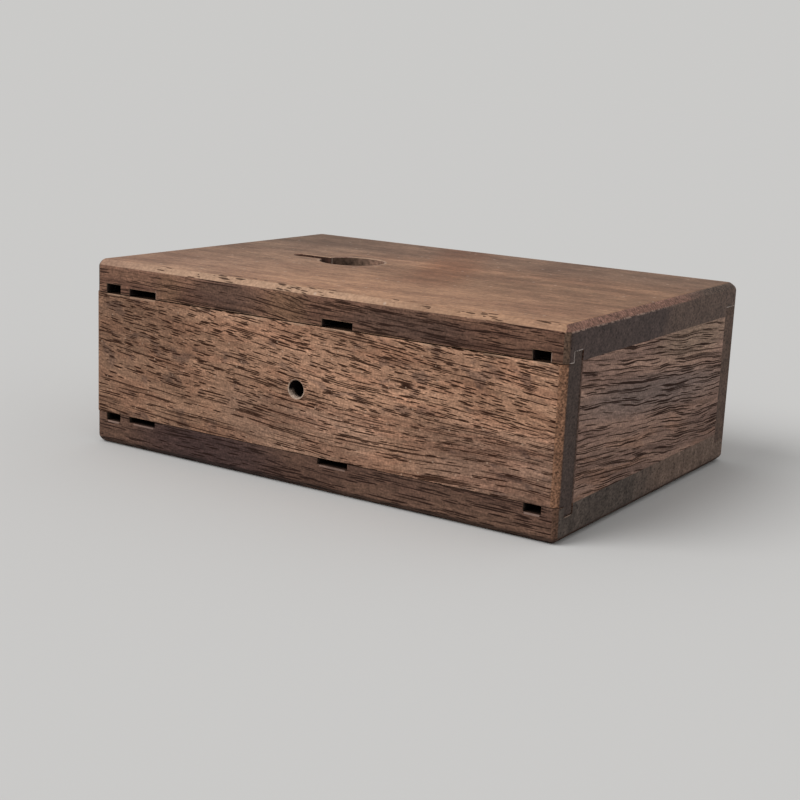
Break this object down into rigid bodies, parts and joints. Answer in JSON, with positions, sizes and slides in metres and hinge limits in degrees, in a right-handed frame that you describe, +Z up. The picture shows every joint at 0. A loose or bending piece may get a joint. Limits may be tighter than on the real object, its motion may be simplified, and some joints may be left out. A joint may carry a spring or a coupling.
{
  "type": "sliding lid wooden box",
  "caption": "Small walnut box whose front board slides sideways in grooves in the top and bottom plates, with a keyhole through the top and a round hole through the lid.",
  "frame": {"origin": "middle of the box's footprint, on the surface it stands on", "axes": "+X along the front to the right, the way the lid slides out; +Y from the front to the back; +Z up"},
  "size_m": [0.1002, 0.072, 0.0355],
  "materials": {
    "top_plate_walnut": "black walnut, sanded smooth, thin oil, matte",
    "bottom_plate_walnut": "darker black walnut, thin oil, matte",
    "back_panel_walnut": "black walnut, thin oil, matte",
    "end_panel_walnut": "black walnut with long open pores, thin oil, matte",
    "lid_walnut": "warm black walnut with dense open pores, thin oil, matte"
  },
  "bodies": {
    "box": {"top_plate": "top_plate_walnut", "bottom_plate": "bottom_plate_walnut", "back_panel": "back_panel_walnut", "left_end_panel": "end_panel_walnut", "right_end_panel": "end_panel_walnut"},
    "lid": {"sliding_lid": "lid_walnut"}
  },
  "joints": [
    {"name": "lid_slide", "type": "slide", "parent": "box", "child": "lid", "axis": [1, 0, 0], "range_m": [-0.092, 0.092]}
  ]
}
